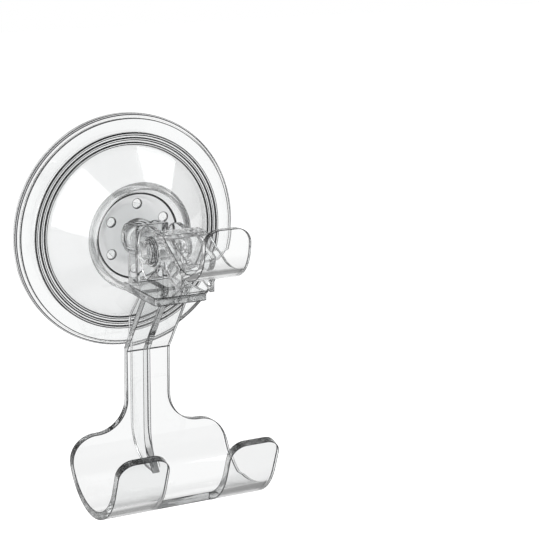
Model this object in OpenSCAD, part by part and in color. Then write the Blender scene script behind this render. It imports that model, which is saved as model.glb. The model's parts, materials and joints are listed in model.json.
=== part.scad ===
// Wall-held razor holder in clear plastic: a suction cup locked by a lever, with a hook on
// the lever and a cradle on a bent arm below it. Millimetres. The wall is the plane y = 0,
// the object stands out of it towards -Y, and Z points up.

/* [Suction pad] */
// Diameter of the soft pad
pad_d = 70; // [66:0.5:74]
// Thickness of the pad under the housing's flange
pad_t = 1.5; // [1.2:0.1:1.8]
// Height of the pad's upturned edge, which stands round the flange
edge_h = 2.3; // [2:0.1:2.6]
// How far the locked lever draws the pad's centre off the wall
pad_draw = 3; // [2:0.25:3.5]
// Width of the flat sealing rim
rim_w = 4; // [3:0.5:6]

/* [Housing] */
// How far the hard flange stands inside the pad's edge
flange_in = 1.35; // [1.2:0.05:1.6]
// Wall thickness of the housing
wall = 2; // [1.6:0.1:2.2]
// Diameter of the cone's foot
cone_foot_d = 51; // [50:0.5:52]
// Diameter of the well's rim
well_d = 29.6; // [28.6:0.2:30.4]
// Distance of the well's rim from the wall
well_front = 14.7; // [14.2:0.1:15.2]
// Diameter of the flat disc in the well
disc_d = 25.4; // [24.8:0.2:26]
// Distance of the disc's face from the wall
disc_front = 10.1; // [9.8:0.1:10.6]
// Number of fine ridges round the cone's foot
ridges = 3; // [2:1:3]
// Number of round recesses in the disc
recesses = 6; // [4:1:8]
// Diameter of each recess
recess_d = 3; // [2.4:0.1:3.4]

/* [Stem and pin] */
// Diameter of the pull stem
stem_d = 6.6; // [6:0.1:7]
// Distance of the hinge axis from the wall
pin_front = 31; // [30.5:0.1:32]
// Diameter of the hinge pin
pin_d = 3.6; // [3:0.1:3.8]
// Radial running clearance of the pin in the stem's eye
pin_fit = 0.05; // [0.03:0.01:0.09]
// Diameter of the pin's head
head_d = 6.6; // [6:0.1:7]

/* [Lever] */
// Width of the lever and its hook
lever_w = 13.8; // [13.2:0.1:14.6]
// Width across the lever's cheeks
cheek_w = 10; // [9.6:0.1:10.8]
// Thickness of a cheek
cheek_t = 1.4; // [1.2:0.1:1.5]
// Largest radius of the cams
cam_r = 10; // [9.6:0.1:10.2]
// How far the cams let the housing come forward when the lever is up
cam_drop = 3; // [2:0.25:3.25]
// Thickness of the lever's plate and hook
hook_t = 1.9; // [1.6:0.1:2.2]
// Inside radius of the hook
hook_r = 9.1; // [8:0.1:9.4]
// Height of the hook's tip above the pad's centre
hook_top = 13.8; // [12:0.2:16]

/* [Arm and cradle] */
// Width of the shelf
shelf_w = 16.4; // [15:0.2:18]
// Thickness of the arm, shelf and cradle
arm_t = 2.3; // [1.8:0.1:2.6]
// Width of the arm
arm_w = 13.8; // [12:0.2:15]
// Thickness of the rib behind the arm
rib_t = 2; // [1.6:0.1:2.6]
// Width of the cradle
cradle_w = 50.4; // [46:0.4:58]
// Inside radius of the cradle's gutter
gutter_r = 15.4; // [14:0.2:16]
// Width of the gap between the two lips
gap_w = 19; // [14:0.5:22]

/* [Hidden] */
$fn = 96;
clear_hard = [0.90, 0.93, 0.95, 0.40];
clear_soft = [0.86, 0.90, 0.92, 0.45];

// clearances between pieces
seat_gap = 0.2;    // pad to flange
moulded = 0.05;    // stem foot in the pad
slide_gap = 0.3;   // stem in the arm's neck
cam_gap = 0.4;     // cam to seat plate
press = 0.02;      // pin in the lever

// suction pad, as radius and distance from the wall
pad_r = pad_d / 2;
seal_r = pad_r - rim_w;
edge_gap = 0.35;   // flange to the pad's upturned edge
boss_r = 11;
boss_front = 7.2;
foot_r = 9;
foot_back = pad_draw + 0.9;
foot_t = 1.5;
slope_r = cone_foot_d / 2 - 4.5;
function pad_back(r) = r >= seal_r ? 0 : pad_draw * pow(1 - pow(r / seal_r, 2), 1.4);

// housing
flange_r = pad_r - flange_in;
edge_in = flange_r + edge_gap;
flange_back = pad_t + seat_gap;
flange_front = 3.1;
foot_front = 4.3;
cone_r = cone_foot_d / 2;
well_r = well_d / 2;
disc_r = disc_d / 2;
opening_r = 4.6;
ridge_step = 1.4;
ridge_w = 0.7;
ridge_h = 0.6;
recess_pcd = 19.2;

// stem and pin
stem_r = stem_d / 2;
eye_half = 3.2;
pin_up = 0.2;
pin_r = pin_d / 2;

// lever, as distance from the wall and height
lever_half = lever_w / 2;
cheek_half = cheek_w / 2;
boss_out = 1.6;    // the cheek's round boss, and the lower step round it
boss_in = 3.5;
step_out = 0.7;
step_r = 4.2;
plate_slope = 30;
hook_front = 57.3;
hook_up = 8.9;
tip_lean = 5;
top_up = cam_r - cam_drop;
top_run = 6;
notch = [36.2, -2.7];
skirt_front = 50.2;
skirt_up = -8.2;
wall_t = 1.4;      // the lever's front wall
wall_high = 7.4;
hook_out = hook_r + hook_t;

// seat plate, shelf and neck of the arm
seat_front = pin_front - cam_r - cam_gap;
seat_back = seat_front - 2;
seat_top = 5.6;
shelf_front = 40;
shelf_up = pin_up - cam_r - 1.3;
collar_r = 5.3;
nose_r = 4.5;
neck_half = 5;
neck_low = 14.5;
bore_r = stem_r + slide_gap;

// arm and cradle
bend = [17.2, -32.7];
arm_head = [30.8, shelf_up - arm_t];
gutter_front = 32.4;
gutter_up = -57.6;
lip_lean = 20;
lip_run = 10.5;
rib_back = 5;
shoulder_r = 9.5;
corner_r = 8.3;
lip_corner = 4.7;
gutter_out = gutter_r + arm_t;

// points of an arc
function arc(c, r, a0, a1, n = 24) =
    [for (i = [0:n]) [c[0] + r * cos(a0 + (a1 - a0) * i / n), c[1] + r * sin(a0 + (a1 - a0) * i / n)]];

// where the line through a and b meets the line through c and d
function meet(a, b, c, d) =
    let (u = b - a, v = d - c, w = c - a, k = u[0] * v[1] - u[1] * v[0])
    a + u * ((w[0] * v[1] - w[1] * v[0]) / k);

// a line's two points, moved sideways to its left by t
function beside(a, b, t) =
    let (u = (b - a) / norm(b - a), n = [-u[1], u[0]] * t) [a + n, b + n];

function flipped(list) = [for (i = [len(list) - 1:-1:0]) list[i]];

// turned about the cup's axis: the outline is radius and distance from the wall
module turned() {
    rotate([90, 0, 0])
        rotate_extrude($fn = 180) children();
}

// a side outline (distance from the wall, height) made w wide
module side_cut(w, x = 0) {
    translate([x, 0, 0])
        rotate([90, 0, -90])
            linear_extrude(height = w, center = true) children();
}

// a front outline (x, height) made deep, from one distance to another
module front_cut(from, to) {
    translate([0, -from, 0])
        rotate([90, 0, 0])
            linear_extrude(height = to - from) children();
}

// a round bar along the cup's axis
module bar_out(r, from, to, r2 = -1) {
    translate([0, -from, 0])
        rotate([90, 0, 0])
            cylinder(h = to - from, r1 = r, r2 = r2 < 0 ? r : r2);
}

// a round bar along X through the hinge axis
module bar_across(r, from, to) {
    translate([from, -pin_front, pin_up])
        rotate([0, 90, 0])
            cylinder(h = to - from, r = r);
}

// the soft pad: a thin lip, a drawn-up middle and a boss round the stem's foot
module suction_pad() {
    back = [for (i = [0:14]) let (r = seal_r * (1 - i / 14)) [r, pad_back(r)]];
    front = [[0, boss_front], [boss_r - 0.8, boss_front], [boss_r, boss_front - 0.8], [boss_r, 5.6],
             [boss_r + 1.5, 4.9], [slope_r, pad_back(slope_r) + 1.9], [cone_r + 0.5, pad_t],
             [edge_in, pad_t], [edge_in, edge_h - 0.2], [edge_in + 0.2, edge_h],
             [pad_r - 0.3, edge_h], [pad_r, edge_h - 0.3]];
    color(clear_soft)
        difference() {
            turned() polygon(concat([[pad_r, 0.15], [pad_r - 0.15, 0]], back, front));
            bar_out(foot_r + moulded, foot_back - moulded, foot_back + foot_t + moulded);
            bar_out(stem_r + moulded, foot_back + foot_t, boss_front + 1);
        }
}

// the hard stem: a foot held in the pad, a round bar and an eye with two flats
module pull_stem() {
    color(clear_hard)
        difference() {
            union() {
                bar_out(foot_r, foot_back, foot_back + foot_t);
                bar_out(stem_r, foot_back + 0.5, seat_front - 1);
                intersection() {
                    union() {
                        bar_out(stem_r, seat_front - 2, pin_front);
                        bar_across(stem_r, -eye_half, eye_half);
                    }
                    side_cut(2 * eye_half) translate([seat_front - 4, -10]) square([20, 20]);
                }
            }
            bar_across(pin_r + pin_fit, -eye_half - 1, eye_half + 1);
        }
}

// the housing's outline, front and back faces
cone_foot = [cone_r, foot_front];
rim = [well_r, well_front];
disc_edge = [disc_r, disc_front];
cone_in = beside(cone_foot, rim, wall);
well_in = beside(rim, disc_edge, wall);
rim_in = meet(cone_in[0], cone_in[1], well_in[0], well_in[1]);
disc_back = disc_front - wall;
foot_in = meet(cone_in[0], cone_in[1], [0, flange_back + 0.3], [1, flange_back + 0.3]);
well_end = meet(well_in[0], well_in[1], [0, disc_back], [1, disc_back]);
function toward(a, b, t) = a + (b - a) * t / norm(b - a);

// the hard housing: flange, fine ridges, cone, well and disc
module dome_housing() {
    crest = [for (i = [0:ridges - 1])
                 let (r = cone_r + 3.95 - i * ridge_step)
                 each [[r + 0.08, foot_front - ridge_h], [r, foot_front], [r - ridge_w, foot_front],
                       [r - ridge_w - 0.08, foot_front - ridge_h]]];
    front = concat(
        [[flange_r, flange_back + 0.15], [flange_r, flange_front - 0.2], [flange_r - 0.2, flange_front],
         [cone_r + 4.5, foot_front - ridge_h]],
        crest,
        [cone_foot, toward(rim, cone_foot, 0.5), rim + [-0.1, 0.05], toward(rim, disc_edge, 0.4), disc_edge,
         [opening_r, disc_front]]);
    back = [[opening_r, disc_back], well_end, rim_in, foot_in, [flange_r - 4.2, flange_back + 0.3],
            [flange_r - 4.2, flange_back], [flange_r - 0.15, flange_back]];
    color(clear_hard)
        difference() {
            turned() polygon(concat(front, back));
            for (i = [0:recesses - 1])
                rotate([0, i * 360 / recesses + 180 / recesses, 0])
                    translate([recess_pcd / 2, 0, 0])
                        bar_out(recess_d / 2, disc_front - 1, disc_front + 1);
        }
}

// side outline of the arm's plate and the gutter, front face first
gutter_c = [gutter_front, gutter_up];
plate_front = gutter_front - gutter_r;
slant_back = beside(arm_head, bend, -arm_t);
bend_back = meet(slant_back[0], slant_back[1], [plate_front - arm_t, 0], [plate_front - arm_t, 1]);
function lip_end(r) =
    [gutter_front + r * cos(lip_lean), gutter_up - r * sin(lip_lean)]
    + lip_run * [sin(lip_lean), cos(lip_lean)];

module arm_outline() {
    face = concat([arm_head, [plate_front, bend[1]]],
                  arc(gutter_c, gutter_r, 180, 360 - lip_lean, 40), [lip_end(gutter_r)]);
    rear = concat([arm_head + [-2.8, 0], bend_back],
                  arc(gutter_c, gutter_out, 180, 360 - lip_lean, 40), [lip_end(gutter_out)]);
    polygon(concat(face, flipped(rear)));
}

// front outline of the arm and the cradle's back wall
module arm_front() {
    half = arm_w / 2;
    wide = cradle_w / 2;
    level = gutter_up + 0.8;
    right = concat([[half, 0]],
                   arc([half + shoulder_r, level + shoulder_r], shoulder_r, 180, 270, 16),
                   arc([wide - corner_r, level - corner_r], corner_r, 90, 0, 16),
                   [[wide, -90]]);
    polygon(concat(right, [for (p = flipped(right)) [-p[0], p[1]]]));
}

// outline of one lip in its own leaning plane, measured up from where it leaves the gutter
module lip_face() {
    in = gap_w / 2;
    out = cradle_w / 2;
    polygon(concat([[in, -30]],
                   arc([in + lip_corner, lip_run - lip_corner], lip_corner, 180, 90, 12),
                   arc([out - lip_corner, lip_run - lip_corner], lip_corner, 90, 0, 12),
                   [[out, -30]]));
}

// both lips' outlines cut square through the leaning plane
module lip_cut() {
    translate([0, -gutter_front - gutter_r * cos(lip_lean), gutter_up - gutter_r * sin(lip_lean)])
        rotate([90 + lip_lean, 0, 0])
            translate([0, 0, -24])
                linear_extrude(height = 30) {
                    lip_face();
                    mirror([1, 0]) lip_face();
                }
}

// side outline of the rib: it follows the cone, stands behind the plate and runs into the gutter
module rib_outline() {
    turn_r = 12.5;
    polygon(concat([arm_head + [0, 1], [seat_back, arm_head[1] + 1], [seat_back - 2.6, arm_head[1]],
                    [rib_back, -(cone_r + 0.3)]],
                   arc([rib_back + turn_r, gutter_up], turn_r, 180, 254, 12),
                   [gutter_c + (gutter_r + 0.6) * [cos(232), sin(232)], [plate_front - 0.5, gutter_up - 4],
                    [plate_front - 0.5, bend[1]]]));
}

// side outline of the neck: a round nose on the disc, a step clear of the well's rim, the seat plate
module neck_outline() {
    nose = [disc_front + nose_r, 0.6];
    polygon(concat([[seat_front, seat_top]], arc(nose, nose_r, 90, 235, 20),
                   [[neck_low, nose[1] - nose_r + 0.2], [neck_low, shelf_up - arm_t],
                    [seat_front, shelf_up - arm_t]]));
}

// the arm: neck on the disc, seat plate, shelf, bent plate with its rib, and the cradle
module razor_arm() {
    lips_from = gutter_front + 5.4;
    color(clear_hard)
        difference() {
            union() {
                bar_out(collar_r, disc_front, disc_front + 2.2);
                bar_out(opening_r - 0.25, disc_front - 1.6, disc_front + 1);
                difference() {
                    side_cut(2 * neck_half) neck_outline();
                    side_cut(2 * bore_r)
                        translate([disc_front + 2.2, shelf_up]) square([seat_back - disc_front - 2.2, 20]);
                }
                translate([0, 0, shelf_up - arm_t])
                    linear_extrude(height = arm_t)
                        polygon(concat([[-shelf_w / 2, -seat_back]],
                                       arc([1.6 - shelf_w / 2, 1.6 - shelf_front], 1.6, 180, 270, 8),
                                       arc([shelf_w / 2 - 1.6, 1.6 - shelf_front], 1.6, 270, 360, 8),
                                       [[shelf_w / 2, -seat_back]]));
                intersection() {
                    side_cut(cradle_w) arm_outline();
                    front_cut(10, lips_from) arm_front();
                }
                intersection() {
                    side_cut(cradle_w) arm_outline();
                    front_cut(lips_from, 60) translate([-40, -90]) square([80, 80]);
                    lip_cut();
                }
                side_cut(rib_t) rib_outline();
            }
            bar_out(bore_r, disc_front - 4, seat_front + 1);
        }
}

// the headed pin, with a small upset end
module hinge_pin() {
    out = cheek_half + boss_out;
    color(clear_hard) {
        bar_across(pin_r, -out - 0.5, out + 0.6);
        bar_across(head_d / 2, -out - 1.45, -out - 0.05);
        bar_across(pin_r + 0.5, out + 0.05, out + 0.65);
    }
}

// side outlines of the lever
hook_c = [hook_front, hook_up];
slope_dir = [cos(plate_slope), -sin(plate_slope)];
slope_end = hook_c - hook_r * [sin(plate_slope), cos(plate_slope)];
slope_start = slope_end - slope_dir * ((top_up + pin_up - slope_end[1]) / sin(plate_slope));
function tip(r) =
    let (p = hook_c + r * [cos(tip_lean), -sin(tip_lean)])
    [p[0] + (hook_top - p[1]) * tan(tip_lean), hook_top];

// the sloping plate and the hook
module hook_outline() {
    under = beside(slope_start, slope_end, -hook_t);
    inner = concat([slope_start - [top_run, 0], slope_start],
                   arc(hook_c, hook_r, 270 - plate_slope, 360 - tip_lean, 32), [tip(hook_r)]);
    outer = concat([slope_start - [top_run, hook_t], meet(under[0], under[1], [0, slope_start[1] - hook_t],
                                                    [1, slope_start[1] - hook_t])],
                   arc(hook_c, hook_out, 270 - plate_slope, 360 - tip_lean, 32), [tip(hook_out)]);
    polygon(concat(inner, flipped(outer)));
}

// one cheek with its cam: the radius falls off evenly from the back to the top
module cheek_outline() {
    at = [pin_front, pin_up];
    fall = cam_drop + 0.25;
    spiral = [for (i = [0:18])
                  let (a = 90 + 5 * i, r = cam_r - fall * (18 - i) / 18) at + r * [cos(a), sin(a)]];
    polygon(concat(spiral, arc(at, cam_r, 185, 248, 14),
                   [notch, [skirt_front, skirt_up],
                    [skirt_front, slope_end[1] + (slope_end[0] - skirt_front) * tan(plate_slope) - 1],
                    slope_start - [0, 0.6]]));
}

// the lever: two cheeks with cams and bosses, a sloping plate, a front wall and the hook
module lever_hook() {
    out = lever_half;
    cheek = cheek_half;
    color(clear_hard)
        difference() {
            union() {
                for (side = [-1, 1]) {
                    side_cut(cheek_t, side * (cheek - cheek_t / 2)) cheek_outline();
                    mirror([side < 0 ? 1 : 0, 0]) {
                        bar_across(boss_in, cheek - 1, cheek + boss_out);
                        bar_across(step_r, cheek - 1, cheek + step_out);
                    }
                }
                intersection() {
                    side_cut(lever_w) hook_outline();
                    union() {
                        front_cut(30, hook_front + 4) translate([-out, -20]) square([2 * out, 60]);
                        front_cut(hook_front + 3, 75)
                            polygon(concat([[-out, -20], [out, -20]],
                                           arc([out - 4.5, hook_top - 4.5], 4.5, 0, 90, 12),
                                           arc([4.5 - out, hook_top - 4.5], 4.5, 90, 180, 12)));
                    }
                }
                front_cut(skirt_front - wall_t, skirt_front)
                    translate([-cheek, skirt_up + 0.4]) square([2 * cheek, wall_high]);
            }
            bar_across(pin_r + press, -lever_w, lever_w);
        }
}

suction_pad();
pull_stem();
dome_housing();
razor_arm();
hinge_pin();
lever_hook();
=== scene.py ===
import bmesh, bpy, json, math
from mathutils import Matrix, Vector

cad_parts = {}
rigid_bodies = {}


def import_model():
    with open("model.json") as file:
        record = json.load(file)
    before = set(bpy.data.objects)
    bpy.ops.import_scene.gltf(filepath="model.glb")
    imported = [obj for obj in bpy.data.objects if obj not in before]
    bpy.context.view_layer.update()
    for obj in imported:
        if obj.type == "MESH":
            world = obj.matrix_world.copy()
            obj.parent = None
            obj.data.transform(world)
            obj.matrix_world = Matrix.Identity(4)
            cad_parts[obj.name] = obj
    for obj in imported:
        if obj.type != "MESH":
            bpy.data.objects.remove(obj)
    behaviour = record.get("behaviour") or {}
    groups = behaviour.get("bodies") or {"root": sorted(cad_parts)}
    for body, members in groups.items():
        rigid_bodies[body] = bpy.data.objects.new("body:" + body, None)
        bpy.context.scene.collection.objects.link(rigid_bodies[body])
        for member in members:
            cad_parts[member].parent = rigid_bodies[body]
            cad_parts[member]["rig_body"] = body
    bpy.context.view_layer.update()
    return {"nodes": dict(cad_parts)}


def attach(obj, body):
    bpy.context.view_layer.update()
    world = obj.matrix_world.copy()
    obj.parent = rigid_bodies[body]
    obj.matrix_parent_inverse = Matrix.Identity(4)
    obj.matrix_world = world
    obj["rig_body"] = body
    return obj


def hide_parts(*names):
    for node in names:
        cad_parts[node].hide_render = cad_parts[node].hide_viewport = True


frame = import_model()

scene = bpy.context.scene
nodes = frame["nodes"]
mmPerMetre = 1000

# the photo's camera: angles in degrees, the lens in mm, the rest in metres
view = {
    "azimuth": -28.5,
    "elevation": 14.11,
    "roll": 0.34,
    "lens": 123.6,
    "place": (-0.2182, -0.4934, 0.1228),
    "near": 0.02,
    "far": 20,
}


def makeCamera():
    data = bpy.data.cameras.new("camera")
    data.lens = view["lens"]
    data.clip_start = view["near"]
    data.clip_end = view["far"]
    cam = bpy.data.objects.new("camera", data)
    scene.collection.objects.link(cam)
    az, el = math.radians(view["azimuth"]), math.radians(view["elevation"])
    back = Vector((math.sin(az) * math.cos(el), -math.cos(az) * math.cos(el), math.sin(el)))
    turn = (-back).to_track_quat("-Z", "Y").to_matrix().to_4x4()
    roll = Matrix.Rotation(math.radians(view["roll"]), 4, "Z")
    cam.matrix_world = Matrix.Translation(view["place"]) @ turn @ roll
    scene.camera = cam


makeCamera()
print("camera done")


def addNode(tree, kind, **settings):
    made = tree.nodes.new(kind)
    for name, value in settings.items():
        if name in made.inputs:
            made.inputs[name].default_value = value
        else:
            setattr(made, name, value)
    return made


# an input takes a constant or another node's output
def feed(tree, target, value):
    if isinstance(value, bpy.types.NodeSocket):
        tree.links.new(value, target)
    else:
        target.default_value = value


def mathNode(tree, operation, *values):
    made = addNode(tree, "ShaderNodeMath", operation=operation)
    for target, value in zip(made.inputs, values):
        feed(tree, target, value)
    return made.outputs[0]


# the two inputs and the output that a mix node uses for each kind
mixSockets = {"FLOAT": (2, 3, 0), "RGBA": (6, 7, 2)}


def mixNode(tree, kind, mask, low, high):
    made = addNode(tree, "ShaderNodeMix", data_type=kind)
    first, second, result = mixSockets[kind]
    feed(tree, made.inputs[0], mask)
    feed(tree, made.inputs[first], low)
    feed(tree, made.inputs[second], high)
    return made.outputs[result]


def newMaterial(name):
    mat = bpy.data.materials.new(name)
    mat.use_nodes = True
    tree = mat.node_tree
    tree.nodes.clear()
    return mat, tree


moulding = {
    "waveDetail": 2.0,
    "waveRoughness": 0.4,
    "waveTwist": 0.6,
    "waveDepth": 0.001,        # metres
    "grainSize": 900.0,        # grains per metre
    "grainDetail": 3.0,
}


# moulded clear plastic: faint flow waves and a fine, uneven haze
def makeMouldGroup():
    group = bpy.data.node_groups.new("mouldedSurface", "ShaderNodeTree")
    for name, way, kind in (
            ("Wave Size", "INPUT", "Float"), ("Wave Height", "INPUT", "Float"),
            ("Haze", "INPUT", "Float"), ("Haze Spread", "INPUT", "Float"),
            ("Roughness", "OUTPUT", "Float"), ("Normal", "OUTPUT", "Vector")):
        group.interface.new_socket(name=name, in_out=way, socket_type="NodeSocket" + kind)
    link = group.links.new
    into = group.nodes.new("NodeGroupInput")
    out = group.nodes.new("NodeGroupOutput")
    coord = addNode(group, "ShaderNodeTexCoord")
    waves = addNode(group, "ShaderNodeTexNoise", Detail=moulding["waveDetail"],
                    Roughness=moulding["waveRoughness"], Distortion=moulding["waveTwist"])
    grain = addNode(group, "ShaderNodeTexNoise", Scale=moulding["grainSize"],
                    Detail=moulding["grainDetail"])
    bump = addNode(group, "ShaderNodeBump", Distance=moulding["waveDepth"])
    link(coord.outputs["Object"], waves.inputs["Vector"])
    link(coord.outputs["Object"], grain.inputs["Vector"])
    link(into.outputs["Wave Size"], waves.inputs["Scale"])
    link(waves.outputs["Fac"], bump.inputs["Height"])
    link(into.outputs["Wave Height"], bump.inputs["Strength"])
    uneven = mathNode(group, "MULTIPLY", grain.outputs["Fac"], into.outputs["Haze Spread"])
    haze = mathNode(group, "ADD", uneven, into.outputs["Haze"])
    link(haze, out.inputs["Roughness"])
    link(bump.outputs["Normal"], out.inputs["Normal"])
    return group


mouldGroup = makeMouldGroup()

hardClear = {
    "edge": (0.002, 0.002, 0.0025, 1),    # painted dark shade of rounded edges, where the piece's painted shade mask is 1
    "tint": (0.985, 0.99, 0.99, 1),
    "bend": 1.49,                         # index of refraction
    "waveSize": 60,                       # waves per metre
    "waveHeight": 0.02,
    "haze": 0.0,
    "hazeSpread": 0.03,
    "murk": 15,                           # absorption per metre of plastic
}
softClear = {
    # painted dark shade of rounded edges, as above
    "edge": (0.001, 0.001, 0.0015, 1),
    "tint": (0.985, 0.99, 0.99, 1),
    "bend": 1.43,
    "waveSize": 90,
    "waveHeight": 0.04,
    "haze": 0.02,
    "hazeSpread": 0.06,
    "murk": 6,
}
# the housing's painted dark edge shade is fainter
housingClear = {**hardClear, "murk": 6, "edge": (0.0003, 0.0003, 0.0004, 1)}
leverClear = {**hardClear, "murk": 5, "hazeSpread": 0, "waveHeight": 0}
shared = {
    "frost": (0.78, 0.785, 0.79, 1),      # where the piece's "frost" is 1
    "frostHaze": 0.35,
    "murkColour": (0, 0.02, 0.02, 1),
}


def clearPlastic(name, look):
    mat, tree = newMaterial(name)
    link = tree.links.new
    out = tree.nodes.new("ShaderNodeOutputMaterial")
    shader = addNode(tree, "ShaderNodeBsdfPrincipled", IOR=look["bend"])
    shader.inputs["Transmission Weight"].default_value = 1
    moulded = addNode(tree, "ShaderNodeGroup", node_tree=mouldGroup)
    for socketName, key in (("Wave Size", "waveSize"), ("Wave Height", "waveHeight"),
                            ("Haze", "haze"), ("Haze Spread", "hazeSpread")):
        moulded.inputs[socketName].default_value = look[key]
    # painted shade: rounded edges are painted dark, and moulded texture is frosted; each piece says
    # where
    paintedShade = addNode(tree, "ShaderNodeAttribute", attribute_name="paintedShade").outputs["Fac"]
    frost = addNode(tree, "ShaderNodeAttribute", attribute_name="frost").outputs["Fac"]
    tint = mixNode(tree, "RGBA", frost, look["tint"], shared["frost"])
    link(mixNode(tree, "RGBA", paintedShade, tint, look["edge"]), shader.inputs["Base Color"])
    haze = mathNode(tree, "MULTIPLY_ADD", frost, shared["frostHaze"], moulded.outputs["Roughness"])
    link(haze, shader.inputs["Roughness"])
    link(moulded.outputs["Normal"], shader.inputs["Normal"])
    link(shader.outputs[0], out.inputs["Surface"])
    murk = addNode(tree, "ShaderNodeVolumeAbsorption", Density=look["murk"],
                   Color=shared["murkColour"])
    link(murk.outputs[0], out.inputs["Volume"])
    return mat


hardMat = clearPlastic("hardClearPlastic", hardClear)
softMat = clearPlastic("softClearPlastic", softClear)
housingMat = clearPlastic("housingClear", housingClear)
leverMat = clearPlastic("leverClear", leverClear)
print("materials done")


def addPiece(name, mesh, *mats):
    piece = bpy.data.objects.new(name, mesh)
    scene.collection.objects.link(piece)
    mesh.materials.clear()
    for mat in mats:
        mesh.materials.append(mat)
    return piece


# shades flat faces flat up to their rounded edges, and puts the piece in its node's place
def dress(piece, nodeName, keepSharp):
    weigh = piece.modifiers.new("evenShading", "WEIGHTED_NORMAL")
    weigh.mode = "FACE_AREA"
    weigh.weight = 100
    weigh.keep_sharp = keepSharp
    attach(piece, nodes[nodeName]["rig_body"])
    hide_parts(nodeName)


rounding = {
    "weld": 1e-6,          # points of a solid as near as this, in metres, are one
    "flatWithin": 0.2,     # degrees
    "sharpAbove": 28,      # an edge that turns more than this, in degrees, is rounded
    "narrowest": 3,        # a face less than this many strips wide takes one even painted shade
    "foldLimit": 0.05,     # share by which a strip may change the area of its faces
}


# flat faces, each with the ones that it meets without a rounded edge between them;
# material 1 marks the rounded edges
def flatRegions(work):
    seen, regions = set(), []
    for face in work.faces:
        if face.material_index or face in seen:
            continue
        group, queue = [], [face]
        seen.add(face)
        while queue:
            now = queue.pop()
            group.append(now)
            for edge in now.edges:
                for other in edge.link_faces:
                    if other not in seen and not other.material_index:
                        seen.add(other)
                        queue.append(other)
        regions.append(group)
    return regions


def borderLength(group):
    members = set(group)
    return sum(e.calc_length() for f in group for e in f.edges
               if sum(1 for o in e.link_faces if o in members) == 1)


def triangleArea(work):
    area = 0
    for a, b, c in work.calc_loop_triangles():
        area += (b.vert.co - a.vert.co).cross(c.vert.co - a.vert.co).length / 2
    return area


def insetStrip(work, faces, width):
    made = bmesh.ops.inset_region(work, faces=faces, thickness=width, use_even_offset=False,
                                  use_boundary=True)
    return made["faces"]


# tries a strip on a copy of the faces: where it folds over itself, the area grows
def stripFits(group, width):
    trial = bmesh.new()
    corners = dict.fromkeys(v for f in group for v in f.verts)
    copies = {v: trial.verts.new(v.co) for v in corners}
    faces = [trial.faces.new([copies[v] for v in f.verts]) for f in group]
    trial.normal_update()
    before = triangleArea(trial)
    insetStrip(trial, faces, width)
    grown = triangleArea(trial) / before - 1
    trial.free()
    return abs(grown) < rounding["foldLimit"]


# painted shade: the top of the arm's neck, close to the disc, is painted dark
def paintNoseShade(work, paintedShade, look):
    for face in work.faces:
        middle = face.calc_center_median() * mmPerMetre
        inNose = -middle.y < look["noseFront"] and middle.z > look["noseLow"]
        if inNose and face.normal.z > look["noseUp"]:
            face[paintedShade] = max(face[paintedShade], look["noseShade"])


# a strip along the border of every face that ends at a rounded edge, to hold the edge's painted
# dark shade
def lineEdges(mesh, look):
    work = bmesh.new()
    work.from_mesh(mesh)
    paintedShade = work.faces.layers.float.new("paintedShade")
    frost = work.faces.layers.float.new("frost")
    for face in work.faces:
        if face.material_index:
            face[paintedShade] = look["paintedShade"]
    for group in flatRegions(work):
        border = borderLength(group)
        if border == 0:
            continue
        wide = 2 * sum(f.calc_area() for f in group) / border
        if wide < rounding["narrowest"] * look["line"]:
            for face in group:
                face[paintedShade] = look["paintedShade"] * look["narrow"]
            continue
        if wide < look["edgeWide"]:
            for face in group:
                face[frost] = look["edgeFrost"]
        if stripFits(group, look["line"]):
            for face in insetStrip(work, group, look["line"]):
                face[paintedShade] = look["paintedShade"]
    if "noseShade" in look:
        paintNoseShade(work, paintedShade, look)
    for face in work.faces:
        face.material_index = 0
        face.smooth = True
    work.to_mesh(mesh)
    work.free()


# welds a solid's facets and joins the ones that lie in one plane
def joinFlats(mesh):
    work = bmesh.new()
    work.from_mesh(mesh)
    bmesh.ops.remove_doubles(work, verts=work.verts, dist=rounding["weld"])
    bmesh.ops.dissolve_limit(work, angle_limit=math.radians(rounding["flatWithin"]),
                             verts=work.verts, edges=work.edges)
    bmesh.ops.recalc_face_normals(work, faces=work.faces)
    for face in work.faces:
        face.smooth = True
        face.material_index = 0
    work.to_mesh(mesh)
    work.free()
    if mesh.has_custom_normals:
        mesh.attributes.remove(mesh.attributes["custom_normal"])


# a copy of a CAD node with its flat faces joined up and its edges rounded as a mould leaves them
def roundedPiece(nodeName, mat, look):
    mesh = nodes[nodeName].data.copy()
    mesh.name = nodeName + ".clear"
    joinFlats(mesh)
    piece = addPiece(nodeName + ".clear", mesh, mat, mat)
    bevel = piece.modifiers.new("roundEdges", "BEVEL")
    bevel.width = look["edgeRound"]
    bevel.segments = look["roundSteps"]
    bevel.limit_method = "ANGLE"
    bevel.angle_limit = math.radians(rounding["sharpAbove"])
    bevel.use_clamp_overlap = True
    bevel.harden_normals = False
    bevel.miter_outer = "MITER_ARC"
    bevel.material = 1
    sight = bpy.context.evaluated_depsgraph_get()
    rounded = bpy.data.meshes.new_from_object(piece.evaluated_get(sight))
    piece.modifiers.clear()
    piece.data = rounded
    lineEdges(rounded, look)
    rounded.materials.pop(index=1)
    dress(piece, nodeName, False)


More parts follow.
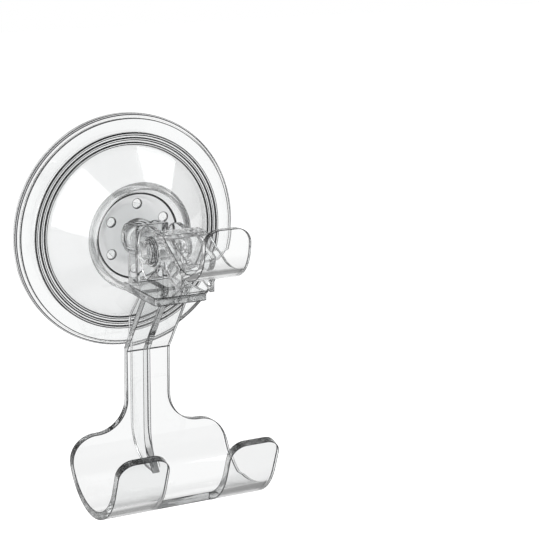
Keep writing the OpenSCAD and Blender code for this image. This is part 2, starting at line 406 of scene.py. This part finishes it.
# edgeRound, line (the strip's width) and edgeWide in metres; narrow is the share of the painted
# edge shade that a narrow face takes, and faces narrower than edgeWide take edgeFrost
basicLook = {"paintedShade": 1, "narrow": 0, "edgeWide": 0}
stemLook = {**basicLook, "edgeRound": 0.0002, "roundSteps": 2, "line": 0.0001, "paintedShade": 0}
armLook = {
    "edgeRound": 0.00025,
    "roundSteps": 3,
    "line": 0.0002,
    "paintedShade": 1,
    "narrow": 0.3,
    "edgeWide": 0.0024,
    "edgeFrost": 0.4,
    # painted shade on the top of the neck
    "noseShade": 0.9,
    "noseFront": 15,       # mm from the wall
    "noseLow": 1.5,        # mm above the cup's axis
    "noseUp": 0.15,        # how steeply a face has to look up
}
pinLook = {**basicLook, "edgeRound": 0.0002, "roundSteps": 3, "line": 0.0001, "paintedShade": 0.2}
leverLook = {**basicLook, "edgeRound": 0.0001, "roundSteps": 2, "line": 0.0001}

roundedPiece("pull_stem", leverMat, stemLook)
roundedPiece("razor_arm", hardMat, armLook)
roundedPiece("hinge_pin", leverMat, pinLook)
roundedPiece("lever_hook", leverMat, leverLook)
print("arm and lever done")


# a point of a turned outline: radius, distance from the wall and rounding in mm,
# then the painted dark shade and frost of the stretch that leads to it
def spot(r, f, rounded=0, paintedShade=0, frost=0):
    return (r, f, rounded, paintedShade, frost)


turning = {
    "cornerSteps": 3,
    "cornerShare": 0.45,   # most of a side that a rounded corner takes
    "onAxis": 1e-7,        # metres
}


# an outline with its corners rounded
def roundedOutline(points, closed):
    made = []
    count, steps, share = len(points), turning["cornerSteps"], turning["cornerShare"]
    for i, (r, f, rounded, paintedShade, frost) in enumerate(points):
        before, after = points[i - 1], points[(i + 1) % count]
        ends = not closed and i in (0, count - 1)
        corner = Vector((r, f))
        if rounded == 0 or ends:
            made.append((corner, paintedShade, frost))
            continue
        back, ahead = Vector(before[:2]) - corner, Vector(after[:2]) - corner
        take = min(rounded, back.length * share, ahead.length * share)
        first, last = corner + back.normalized() * take, corner + ahead.normalized() * take
        darker, hazier = max(paintedShade, after[3]), min(frost, after[4])
        made.append((first, paintedShade, frost))
        for k in range(1, steps + 1):
            t = k / steps
            place = first * (1 - t) ** 2 + corner * (2 * t * (1 - t)) + last * t ** 2
            made.append((place, darker, hazier))
    return made


# the outline turned about the cup's axis
def turnedMesh(name, points, closed, turns):
    outline = roundedOutline(points, closed)
    verts, rings, faces, paintedShades, frosts = [], [], [], [], []
    for place, paintedShade, frost in outline:
        r, f = place.x / mmPerMetre, place.y / mmPerMetre
        start = len(verts)
        if r < turning["onAxis"]:
            verts.append((0, -f, 0))
            rings.append([start] * turns)
            continue
        for k in range(turns):
            angle = 2 * math.pi * k / turns
            verts.append((r * math.cos(angle), -f, r * math.sin(angle)))
        rings.append(list(range(start, start + turns)))
    for i in range(len(rings) if closed else len(rings) - 1):
        low, high = rings[i], rings[(i + 1) % len(rings)]
        paintedShade, frost = outline[(i + 1) % len(rings)][1:]
        for k in range(turns):
            n = (k + 1) % turns
            loop = list(dict.fromkeys((low[k], low[n], high[n], high[k])))
            if len(loop) > 2:
                faces.append(loop)
                paintedShades.append(paintedShade)
                frosts.append(frost)
    mesh = bpy.data.meshes.new(name)
    mesh.from_pydata(verts, [], faces)
    mesh.attributes.new("paintedShade", "FLOAT", "FACE").data.foreach_set("value", paintedShades)
    mesh.attributes.new("frost", "FLOAT", "FACE").data.foreach_set("value", frosts)
    work = bmesh.new()
    work.from_mesh(mesh)
    bmesh.ops.recalc_face_normals(work, faces=work.faces)
    for face in work.faces:
        face.smooth = True
    work.to_mesh(mesh)
    work.free()
    return mesh


# radii from the cup's axis and distances from the wall, in mm
pad = {
    "turns": 300,
    "backSteps": 14,
    "backPower": 1.4,
    "sealRadius": 31,
    "draw": 3.0,               # how far the middle of the back stands off the wall
    "radius": 35,
    "corner": 0.15,
    "bevelUp": 0.1,
    "ledge": 0.4,              # a low step round the upturned edge
    "ledgeFront": 2.15,
    "ledgeLine": 0.12,         # width of the painted dark shade line on it
    "sideLine": 0.3,           # on the edge's outside
    "edgeLine": 0.13,          # and on its top
    "edgeLean": 0.05,
    "edgeFront": 2.3,
    "edgeInside": 34,
    "edgeChamfer": 0.2,
    "face": 1.5,
    "slopeFoot": 26,
    "slopeTop": (21, 3.168),
    "bossFoot": (12.5, 4.9),
    "bossBack": 5.6,
    "bossRadius": 11,
    "bossChamfer": 0.8,
    "bossFront": 7.2,
    "stemHole": 3.35,
    "footHole": 9.05,          # the cavity for the stem's foot
    "footFront": 5.45,
    "footBack": 3.85,
}


def makePad():
    seal, edge, corner = pad["sealRadius"], pad["radius"], pad["corner"]
    low, front, inside = pad["ledgeFront"], pad["edgeFront"], pad["edgeInside"]
    side, rise = low - pad["bevelUp"], edge - pad["ledge"]
    top, chamfer = rise - pad["edgeLean"], pad["edgeChamfer"]
    boss, bossFront, bossChamfer = pad["bossRadius"], pad["bossFront"], pad["bossChamfer"]
    points = []
    for i in range(pad["backSteps"], -1, -1):
        r = seal * (1 - i / pad["backSteps"])
        drawn = max(0.0, 1 - (r / seal) ** 2) ** pad["backPower"]
        points.append(spot(r, pad["draw"] * drawn))
    # the edge: its outside, the ledge and the upturned rim, with painted dark shade lines where it
    # bends
    points += [
        spot(edge - corner, 0, 0.1), spot(edge, corner, 0.1),
        spot(edge, side - pad["sideLine"]), spot(edge, side, 0.1, 1),
        spot(edge - corner, low, 0, 1), spot(rise + pad["ledgeLine"], low),
        spot(rise, low, 0.03, 1), spot(top, front, 0.05, 1),
        spot(top - pad["edgeLine"], front, 0, 1),
        spot(inside + chamfer, front, 0.08), spot(inside, front - chamfer, 0.08),
    ]
    # the face under the flange, the slope and the boss
    points += [
        spot(inside, pad["face"], 0.2), spot(pad["slopeFoot"], pad["face"], 1.0),
        spot(*pad["slopeTop"], 1.2), spot(*pad["bossFoot"], 0.6),
        spot(boss, pad["bossBack"], 0.4), spot(boss, bossFront - bossChamfer, 0.2),
        spot(boss - bossChamfer, bossFront, 0.3),
    ]
    # the hole for the stem and the cavity for its foot
    points += [
        spot(pad["stemHole"], bossFront, 0.2), spot(pad["stemHole"], pad["footFront"], 0.1),
        spot(pad["footHole"], pad["footFront"]), spot(pad["footHole"], pad["footBack"]),
        spot(0, pad["footBack"]),
    ]
    mesh = turnedMesh("suction_pad.clear", points, False, pad["turns"])
    dress(addPiece("suction_pad.clear", mesh, softMat), "suction_pad", True)


# radii from the cup's axis and distances from the wall, in mm
housing = {
    "turns": 300,
    "flange": 33.65,
    "flangeBack": 1.7,
    "flangeFront": 3.1,
    "flangeLine": 0.35,                # painted dark shade line round its edge
    "flangeTop": (33.4, 3.13),
    "ridgeFoot": (30.0, 3.7),
    "crests": (29.45, 28.05, 26.65),   # outer radius of each ridge
    "crestFront": 4.3,
    "crestWide": 0.7,
    "crestLean": 0.08,
    "lineWide": 0.25,                  # painted dark shade line along each edge of a ridge
    "coneFoot": (25.5, 4.3),
    "coneTop": (15.05, 14.457),
    "rim": (14.8, 14.7),
    "rimInside": (14.62, 14.306),
    "wellFoot": (12.88, 10.5),
    "disc": 12.7,
    "discFront": 10.1,
    # width of the painted dark shade line round the disc
    "discLine": 0.38,
    "discBack": 8.1,
    "opening": 4.6,
    "backWell": 13.986,
    "backRim": (15.441, 11.288),
    "backFoot": 24.997,
    "backFlange": 2.0,
    "rebate": 29.45,
    "satin": 0.45,                     # frost of the back, as the mould leaves it
    "sharpAbove": 33,                  # degrees
}


def housingOutline():
    satin, flange, opening = housing["satin"], housing["flange"], housing["opening"]
    back, front, crest = housing["flangeBack"], housing["flangeFront"], housing["crestFront"]
    disc, discFront, discBack = housing["disc"], housing["discFront"], housing["discBack"]
    line, lean, backFlange = housing["lineWide"], housing["crestLean"], housing["backFlange"]
    foot = housing["ridgeFoot"][1]
    points = [
        spot(flange, back, 0.15), spot(flange, front - housing["flangeLine"]),
        spot(flange, front, 0.2, 1), spot(*housing["flangeTop"], 0, 1),
        spot(*housing["ridgeFoot"], 0.2),
    ]
    for r in housing["crests"]:
        inner = r - housing["crestWide"]
        points += [spot(r + lean, foot, 0.08), spot(r, crest, 0.1, 1), spot(r - line, crest, 0, 1),
                   spot(inner + line, crest), spot(inner, crest, 0.1, 1),
                   spot(inner - lean, foot, 0.08, 1)]
    # the cone, the rim, the well and the disc, with painted shade on the rim and the disc's edge
    points += [
        spot(*housing["coneFoot"], 0.3), spot(*housing["coneTop"]),
        spot(*housing["rim"], 0.12, 0.5), spot(*housing["rimInside"], 0, 0.5),
        spot(*housing["wellFoot"]), spot(disc, discFront, 0.05, 1),
        spot(disc - housing["discLine"], discFront, 0, 1), spot(opening, discFront, 0.1, 0, 1),
    ]
    # the back, from the opening out to the flange
    points += [
        spot(opening, discBack, 0.1), spot(housing["backWell"], discBack, 0.3, 0, satin),
        spot(*housing["backRim"], 0.6, 0, satin),
        spot(housing["backFoot"], backFlange, 0.3, 0, satin),
        spot(housing["rebate"], backFlange, 0.1, 0, satin), spot(housing["rebate"], back, 0.1),
    ]
    return points


# the disc's round recesses, in mm
recess = {
    "count": 6,
    "circle": 9.6,             # radius of the circle that they stand on
    "radius": 1.5,
    "depth": 1.0,
    "mouth": 0.12,             # half the width of the slope round each one
    "slopeOver": 0.02,         # the slope starts so far over the disc's face
    "slopeUnder": 0.2,         # and ends so far under it
    "darkUnder": 0.4,          # where the painted dark shade ends
    "over": 0.9,               # how far a plug stands out of the disc
    "turns": 40,
}


# the plugs that cut the round recesses of the disc, and leave painted dark shade just inside their
# mouths
def recessPlugs():
    hole, mouth, face = recess["radius"], recess["mouth"], housing["discFront"]
    over, bottom = face + recess["over"], face - recess["depth"]
    outline = [
        spot(0, over), spot(hole + mouth, over), spot(hole + mouth, face + recess["slopeOver"]),
        spot(hole - mouth, face - recess["slopeUnder"], 0, 1),
        spot(hole - mouth, face - recess["darkUnder"], 0, 1),
        spot(hole - mouth, bottom, 0.15), spot(0, bottom),
    ]
    away = recess["circle"] / mmPerMetre
    cutter = bmesh.new()
    for i in range(recess["count"]):
        plug = turnedMesh("plug", outline, False, recess["turns"])
        angle = 2 * math.pi * (i + 0.5) / recess["count"]
        plug.transform(Matrix.Translation((away * math.cos(angle), 0, away * math.sin(angle))))
        cutter.from_mesh(plug)
        bpy.data.meshes.remove(plug)
    mesh = bpy.data.meshes.new("plugs")
    cutter.to_mesh(mesh)
    cutter.free()
    return mesh


# keeps the shading apart at edges that turn more than this angle
def sharpen(mesh, angle):
    work = bmesh.new()
    work.from_mesh(mesh)
    for edge in work.edges:
        if edge.is_manifold and edge.calc_face_angle() > math.radians(angle):
            edge.smooth = False
    work.to_mesh(mesh)
    work.free()


def makeHousing():
    mesh = turnedMesh("dome_housing.clear", housingOutline(), True, housing["turns"])
    plugs = addPiece("plugs", recessPlugs(), housingMat)
    blank = addPiece("blank", mesh, housingMat)
    cut = blank.modifiers.new("recesses", "BOOLEAN")
    cut.operation = "DIFFERENCE"
    cut.solver = "EXACT"
    cut.object = plugs
    sight = bpy.context.evaluated_depsgraph_get()
    whole = bpy.data.meshes.new_from_object(blank.evaluated_get(sight))
    bpy.data.objects.remove(blank)
    bpy.data.objects.remove(plugs)
    whole.name = "dome_housing.clear"
    sharpen(whole, housing["sharpAbove"])
    dress(addPiece("dome_housing.clear", whole, housingMat), "dome_housing", True)


makePad()
makeHousing()
print("pad and housing done")

studio = {
    "white": (1, 1, 1, 1),
    "plain": 0.8,               # the backdrop that the floor and other matt things see
    "panelCentre": 61.5,        # heading of one of four white panels, degrees from +X
    "panelTurn": 45,            # half the turn from one panel to the next
    "panelHalf": (31, 36),      # where a panel ends and the dark gap begins
    "gapLevel": 0.45,
    "topEnd": (14, 26),         # elevation where the panels end
    "topOver": (44, 58),        # and where it is white again
    "topLevel": 0.2,
    "floorHeight": -0.45,
    "floorSize": 8.0,
    "floorColour": (0.9, 0.9, 0.9, 1),
    "floorLift": 0.35,          # brings the lit floor up to white
    "floorGrey": 0.3,           # the floor as clear pieces see it
    "greyIn": (0.14, 0.26),     # white straight below, so that plain views down stay light
    "greyOut": (0.40, 0.62),    # distances over which it turns white again
    "bounces": 24,              # light is turned inside clear plastic many times
}


def smoothStep(tree, source, start, end):
    made = addNode(tree, "ShaderNodeMapRange", interpolation_type="SMOOTHSTEP")
    made.inputs["From Min"].default_value = start
    made.inputs["From Max"].default_value = end
    tree.links.new(source, made.inputs["Value"])
    return made.outputs["Result"]


def whiteLight(tree, kind, level):
    made = addNode(tree, kind, Color=studio["white"])
    feed(tree, made.inputs["Strength"], level)
    return made.outputs[0]


def mixShader(tree, mask, low, high):
    made = addNode(tree, "ShaderNodeMixShader")
    for target, source in zip(made.inputs, (mask, low, high)):
        tree.links.new(source, target)
    return made.outputs[0]


# one look for the camera, one for the rays that clear pieces send on, and one for the rest
def splitRays(tree, toCamera, toClear, toRest):
    path = addNode(tree, "ShaderNodeLightPath").outputs
    clear = mathNode(tree, "MAXIMUM", path["Is Glossy Ray"], path["Is Transmission Ray"])
    return mixShader(tree, path["Is Camera Ray"], mixShader(tree, clear, toRest, toClear), toCamera)


# white to the camera; clear pieces see white panels with dark gaps between and above them
def makeWorld():
    world = bpy.data.worlds.new("studio")
    world.use_nodes = True
    scene.world = world
    tree = world.node_tree
    tree.nodes.clear()
    out = tree.nodes.new("ShaderNodeOutputWorld")
    coord = addNode(tree, "ShaderNodeTexCoord")
    parts = addNode(tree, "ShaderNodeSeparateXYZ")
    tree.links.new(coord.outputs["Generated"], parts.inputs[0])
    heading = mathNode(tree, "ARCTAN2", parts.outputs["Y"], parts.outputs["X"])
    off = mathNode(tree, "SUBTRACT", heading, math.radians(studio["panelCentre"]))
    off = mathNode(tree, "PINGPONG", off, math.radians(studio["panelTurn"]))
    gap = smoothStep(tree, off, *[math.radians(v) for v in studio["panelHalf"]])
    level = mixNode(tree, "FLOAT", gap, 1.0, studio["gapLevel"])
    for key, beyond in (("topEnd", studio["topLevel"]), ("topOver", 1.0)):
        heights = [math.sin(math.radians(v)) for v in studio[key]]
        above = smoothStep(tree, parts.outputs["Z"], *heights)
        level = mixNode(tree, "FLOAT", above, level, beyond)
    shown = splitRays(tree, *[whiteLight(tree, "ShaderNodeBackground", strength)
                              for strength in (1.0, level, studio["plain"])])
    tree.links.new(shown, out.inputs["Surface"])


# white to the camera; clear pieces see a grey ring that turns white near and far
def makeFloor():
    half = studio["floorSize"] / 2
    z = studio["floorHeight"]
    mesh = bpy.data.meshes.new("floor")
    mesh.from_pydata([(-half, -half, z), (half, -half, z), (half, half, z), (-half, half, z)],
                     [], [(0, 1, 2, 3)])
    floor = bpy.data.objects.new("floor", mesh)
    scene.collection.objects.link(floor)
    mat, tree = newMaterial("paleFloor")
    link = tree.links.new
    out = tree.nodes.new("ShaderNodeOutputMaterial")
    matt = addNode(tree, "ShaderNodeBsdfDiffuse", Color=studio["floorColour"]).outputs[0]
    lit = addNode(tree, "ShaderNodeAddShader")
    link(matt, lit.inputs[0])
    link(whiteLight(tree, "ShaderNodeEmission", studio["floorLift"]), lit.inputs[1])
    coord = addNode(tree, "ShaderNodeTexCoord")
    flat = addNode(tree, "ShaderNodeVectorMath", operation="MULTIPLY")
    flat.inputs[1].default_value = (1, 1, 0)
    away = addNode(tree, "ShaderNodeVectorMath", operation="LENGTH")
    link(coord.outputs["Object"], flat.inputs[0])
    link(flat.outputs["Vector"], away.inputs[0])
    far = smoothStep(tree, away.outputs["Value"], *studio["greyOut"])
    near = smoothStep(tree, away.outputs["Value"], *reversed(studio["greyIn"]))
    level = mixNode(tree, "FLOAT", mathNode(tree, "MAXIMUM", far, near), studio["floorGrey"], 1.0)
    glow = whiteLight(tree, "ShaderNodeEmission", level)
    link(splitRays(tree, lit.outputs[0], glow, matt), out.inputs["Surface"])
    floor.data.materials.append(mat)


# a tall soft box at the front left and a smaller one at the upper right, aimed at the cup;
# angles in degrees from +X and from the floor, lengths in metres, power in watts
lamps = {
    "keyLamp": {"heading": -137, "elevation": 26, "away": 1.2, "size": (0.9, 1.5), "power": 13},
    "sideLamp": {"heading": -12, "elevation": 43, "away": 1.1, "size": (0.7, 0.6), "power": 4},
}


def makeLamp(name, look):
    turn, lift = math.radians(look["heading"]), math.radians(look["elevation"])
    place = look["away"] * Vector((math.cos(turn) * math.cos(lift), math.sin(turn) * math.cos(lift),
                                   math.sin(lift)))
    data = bpy.data.lights.new(name, "AREA")
    data.shape = "RECTANGLE"
    data.size, data.size_y = look["size"]
    data.energy = look["power"]
    lamp = bpy.data.objects.new(name, data)
    scene.collection.objects.link(lamp)
    aim = (-place).to_track_quat("-Z", "Y").to_matrix().to_4x4()
    lamp.matrix_world = Matrix.Translation(place) @ aim


makeWorld()
makeFloor()
for name, look in lamps.items():
    makeLamp(name, look)
scene.view_settings.view_transform = "Standard"
scene.cycles.max_bounces = studio["bounces"]
scene.cycles.glossy_bounces = studio["bounces"]
scene.cycles.transmission_bounces = studio["bounces"]
print("studio done")
